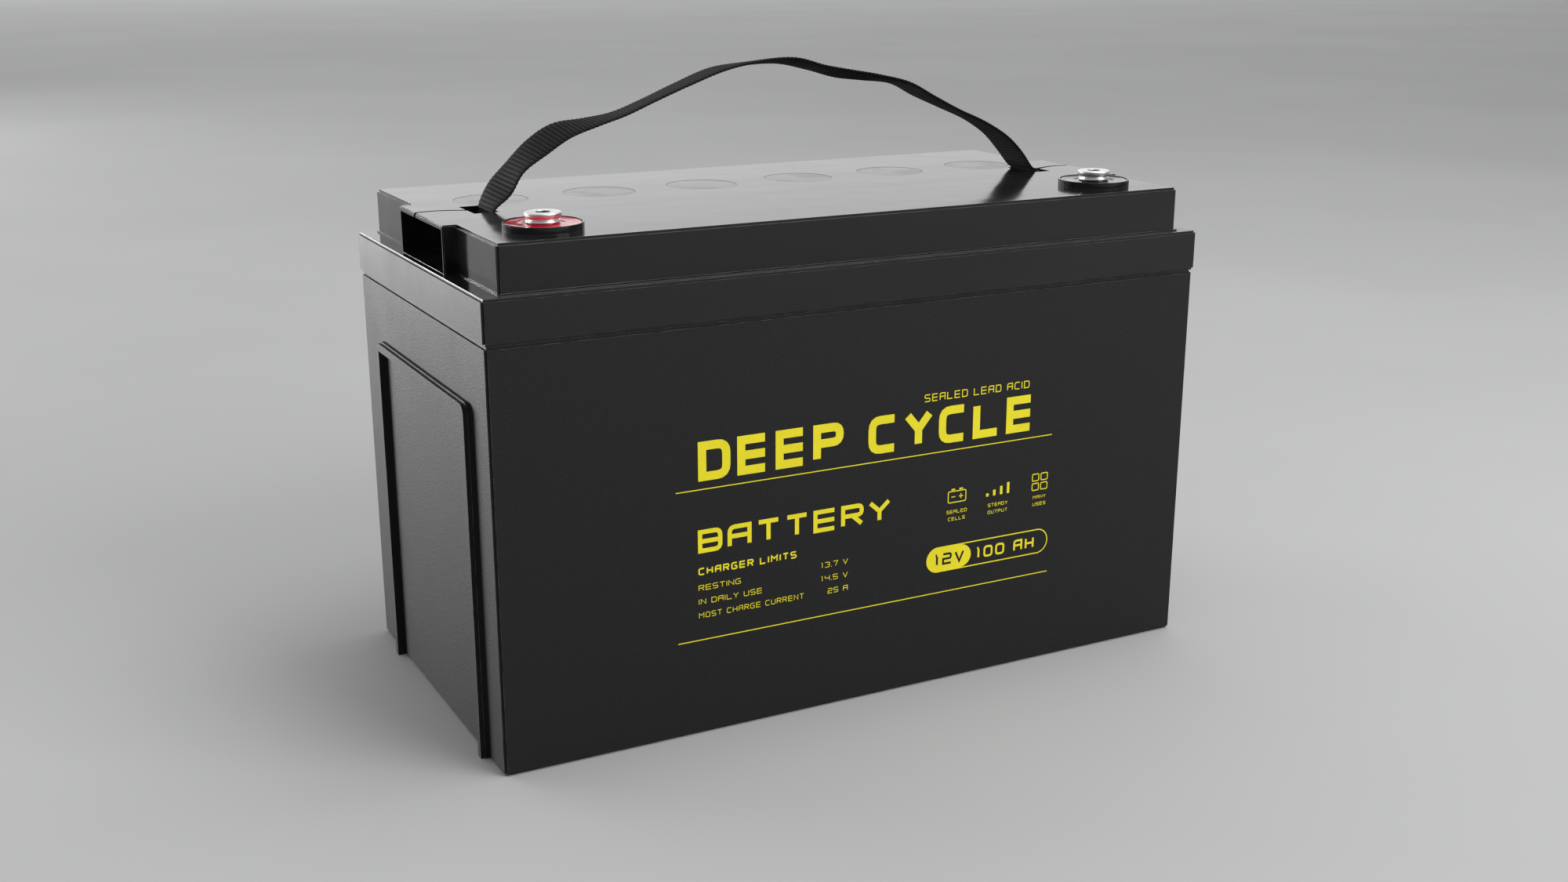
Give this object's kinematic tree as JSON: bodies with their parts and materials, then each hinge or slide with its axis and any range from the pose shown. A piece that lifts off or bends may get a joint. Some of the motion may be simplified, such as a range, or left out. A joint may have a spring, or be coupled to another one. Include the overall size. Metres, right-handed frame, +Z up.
{
  "type": "deep cycle battery",
  "caption": "Sealed deep cycle battery block with a raised glossy lid, two threaded terminals on round bosses, flush vent covers and an arched webbing carry strap.",
  "frame": {"origin": "bottom centre of the battery, on the surface that it stands on", "axes": "+X along the long side towards the negative terminal, +Y to the back, away from the printed face and the terminals, +Z up"},
  "size_m": [0.3354, 0.171, 0.2636],
  "materials": {
    "case_plastic": "satin charcoal moulded case with a fine grain",
    "lid_gloss": "polished black moulded lid",
    "black_rubber": "matt black rubber",
    "tinned_metal": "bright turned and tinned metal",
    "red_resin": "glossy red potting resin",
    "black_resin": "glossy black potting resin",
    "cast_lead": "dull grey cast lead",
    "lead_oxide": "brown pasted plate",
    "sponge_lead": "grey pasted plate",
    "glass_mat": "white absorbent glass mat",
    "webbing": "black ribbed webbing",
    "nylon": "black nylon",
    "yellow_print": "thin yellow print on the case"
  },
  "bodies": {
    "root": {"container": "case_plastic", "lid": "lid_gloss", "vent_cover_1": "lid_gloss", "valve_cap_1": "black_rubber", "positive_plates_1": "lead_oxide", "negative_plates_1": "sponge_lead", "glass_mat_1": "glass_mat", "vent_cover_2": "lid_gloss", "valve_cap_2": "black_rubber", "positive_plates_2": "lead_oxide", "negative_plates_2": "sponge_lead", "glass_mat_2": "glass_mat", "vent_cover_3": "lid_gloss", "valve_cap_3": "black_rubber", "positive_plates_3": "lead_oxide", "negative_plates_3": "sponge_lead", "glass_mat_3": "glass_mat", "vent_cover_4": "lid_gloss", "valve_cap_4": "black_rubber", "positive_plates_4": "lead_oxide", "negative_plates_4": "sponge_lead", "glass_mat_4": "glass_mat", "vent_cover_5": "lid_gloss", "valve_cap_5": "black_rubber", "positive_plates_5": "lead_oxide", "negative_plates_5": "sponge_lead", "glass_mat_5": "glass_mat", "vent_cover_6": "lid_gloss", "valve_cap_6": "black_rubber", "positive_plates_6": "lead_oxide", "negative_plates_6": "sponge_lead", "glass_mat_6": "glass_mat", "cell_connector_1": "cast_lead", "cell_connector_2": "cast_lead", "cell_connector_3": "cast_lead", "cell_connector_4": "cast_lead", "cell_connector_5": "cast_lead", "terminal_insert_positive": "tinned_metal", "terminal_seal_positive": "red_resin", "terminal_o_ring_positive": "black_rubber", "terminal_post_positive": "cast_lead", "terminal_insert_negative": "tinned_metal", "terminal_seal_negative": "black_resin", "terminal_o_ring_negative": "black_rubber", "terminal_post_negative": "cast_lead"},
    "strap_slider": {"strap_end_left": "webbing", "strap_end_right": "webbing", "strap_anchor_left": "nylon", "strap_anchor_right": "nylon"},
    "handle": {"carry_strap": "webbing"}
  },
  "joints": [
    {"name": "strap_pull", "type": "slide", "parent": "root", "child": "strap_slider", "axis": [0, 0, 1], "range_m": [0, 0.0105]},
    {"name": "strap_swing", "type": "hinge", "parent": "strap_slider", "child": "handle", "pos_m": [0, 0.0025, 0.219], "axis": [1, 0, 0], "range_deg": [-75, 75]}
  ]
}
